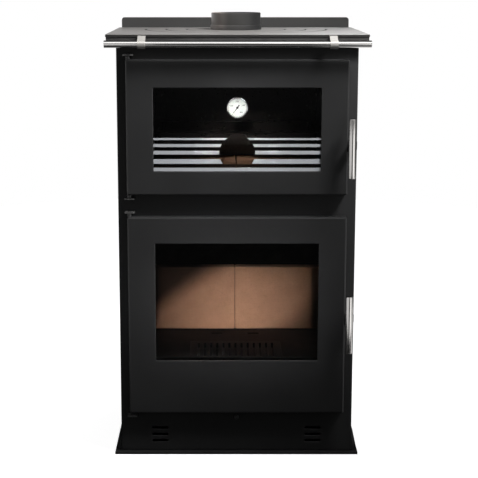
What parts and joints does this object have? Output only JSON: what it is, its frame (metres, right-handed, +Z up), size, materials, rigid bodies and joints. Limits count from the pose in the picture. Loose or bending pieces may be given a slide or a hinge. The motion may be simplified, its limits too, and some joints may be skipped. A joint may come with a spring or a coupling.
{
  "type": "wood-burning stove with oven",
  "caption": "Upright steel wood stove with a glazed firebox door below a glazed oven door, a hob with flue collar, and a hand rail.",
  "frame": {"origin": "middle of the body's footprint, on the underside of the base plate", "axes": "+Z up, the doors face -Y, +X to the right of someone facing the doors"},
  "size_m": [0.58, 0.4718, 1.01],
  "materials": {
    "black_paint": "matt black heat-resistant paint",
    "door_paint": "satin black heat-resistant paint",
    "hob_steel": "ground and blued steel plate",
    "stainless": "polished stainless steel",
    "bare_steel": "dark rolled steel",
    "cast_iron": "blackened cast iron",
    "firebrick": "pressed fireclay, matt",
    "oven_enamel": "near-black enamel",
    "door_glass": "flat ceramic glass",
    "gasket_rope": "knitted glass-fibre rope",
    "dial_white": "matt white dial print",
    "needle_black": "matt black"
  },
  "bodies": {
    "stove": {"base_plate": "black_paint", "side_skirt_left": "black_paint", "side_skirt_right": "black_paint", "front_plate": "black_paint", "side_panel_left": "black_paint", "side_panel_right": "black_paint", "back_panel": "black_paint", "oven_hinge_top": "black_paint", "oven_hinge_bottom": "black_paint", "fire_hinge_top": "black_paint", "fire_hinge_bottom": "black_paint", "oven_latch_keeper": "black_paint", "fire_latch_keeper": "black_paint", "hob_frame": "hob_steel", "hob_plate": "hob_steel", "flue_collar": "hob_steel", "backguard": "hob_steel", "hand_rail": "stainless", "rail_bracket_left": "stainless", "rail_bracket_right": "stainless", "firebox_shell": "bare_steel", "fire_floor": "bare_steel", "log_retainer": "bare_steel", "smoke_baffle": "bare_steel", "fire_grate": "cast_iron", "side_liner_left": "cast_iron", "side_liner_right": "cast_iron", "back_brick_left": "firebrick", "back_brick_right": "firebrick", "oven_tile_left": "firebrick", "oven_tile_right": "firebrick", "oven_liner": "oven_enamel", "tray_runner_left": "oven_enamel", "tray_runner_right": "oven_enamel"},
    "ash_pan": {"ash_pan": "bare_steel", "ash_pan_bail": "bare_steel"},
    "air_control": {"air_slide": "bare_steel", "air_knob": "stainless"},
    "baking_tray": {"baking_tray": "oven_enamel"},
    "oven_door": {"oven_door_panel": "door_paint", "oven_door_glass": "door_glass", "oven_glass_clamp": "bare_steel", "oven_door_gasket": "gasket_rope", "oven_handle_pin": "bare_steel", "thermometer_case": "stainless", "thermometer_dial": "dial_white", "thermometer_lens": "door_glass"},
    "oven_handle": {"oven_handle_lever": "black_paint", "oven_handle_grip": "stainless"},
    "needle": {"thermometer_needle": "needle_black"},
    "fire_door": {"fire_door_panel": "door_paint", "fire_door_glass": "door_glass", "fire_glass_clamp": "bare_steel", "fire_door_gasket": "gasket_rope", "fire_handle_pin": "bare_steel"},
    "fire_handle": {"fire_handle_lever": "black_paint", "fire_handle_grip": "stainless"}
  },
  "joints": [
    {"name": "oven_door_hinge", "type": "hinge", "parent": "stove", "child": "oven_door", "pos_m": [-0.241, -0.216, 0.765], "axis": [0, 0, -1], "range_deg": [0, 115]},
    {"name": "fire_door_hinge", "type": "hinge", "parent": "stove", "child": "fire_door", "pos_m": [-0.241, -0.216, 0.335], "axis": [0, 0, -1], "range_deg": [0, 115]},
    {"name": "oven_handle_turn", "type": "hinge", "parent": "oven_door", "child": "oven_handle", "pos_m": [0.256, -0.214, 0.723], "axis": [0, 0, 1], "range_deg": [-15, 26]},
    {"name": "fire_handle_turn", "type": "hinge", "parent": "fire_door", "child": "fire_handle", "pos_m": [0.256, -0.214, 0.3245], "axis": [0, 0, 1], "range_deg": [-15, 26]},
    {"name": "thermometer_needle_turn", "type": "hinge", "parent": "oven_door", "child": "needle", "pos_m": [0, -0.229, 0.8105], "axis": [0, 1, 0], "range_deg": [0, 285]},
    {"name": "air_control_slide", "type": "slide", "parent": "stove", "child": "air_control", "axis": [0, -1, 0], "range_m": [0, 0.04]},
    {"name": "ash_pan_slide", "type": "slide", "parent": "stove", "child": "ash_pan", "axis": [0, -1, 0], "range_m": [0, 0.024]},
    {"name": "baking_tray_slide", "type": "slide", "parent": "stove", "child": "baking_tray", "axis": [0, -1, 0], "range_m": [0, 0.04]}
  ]
}
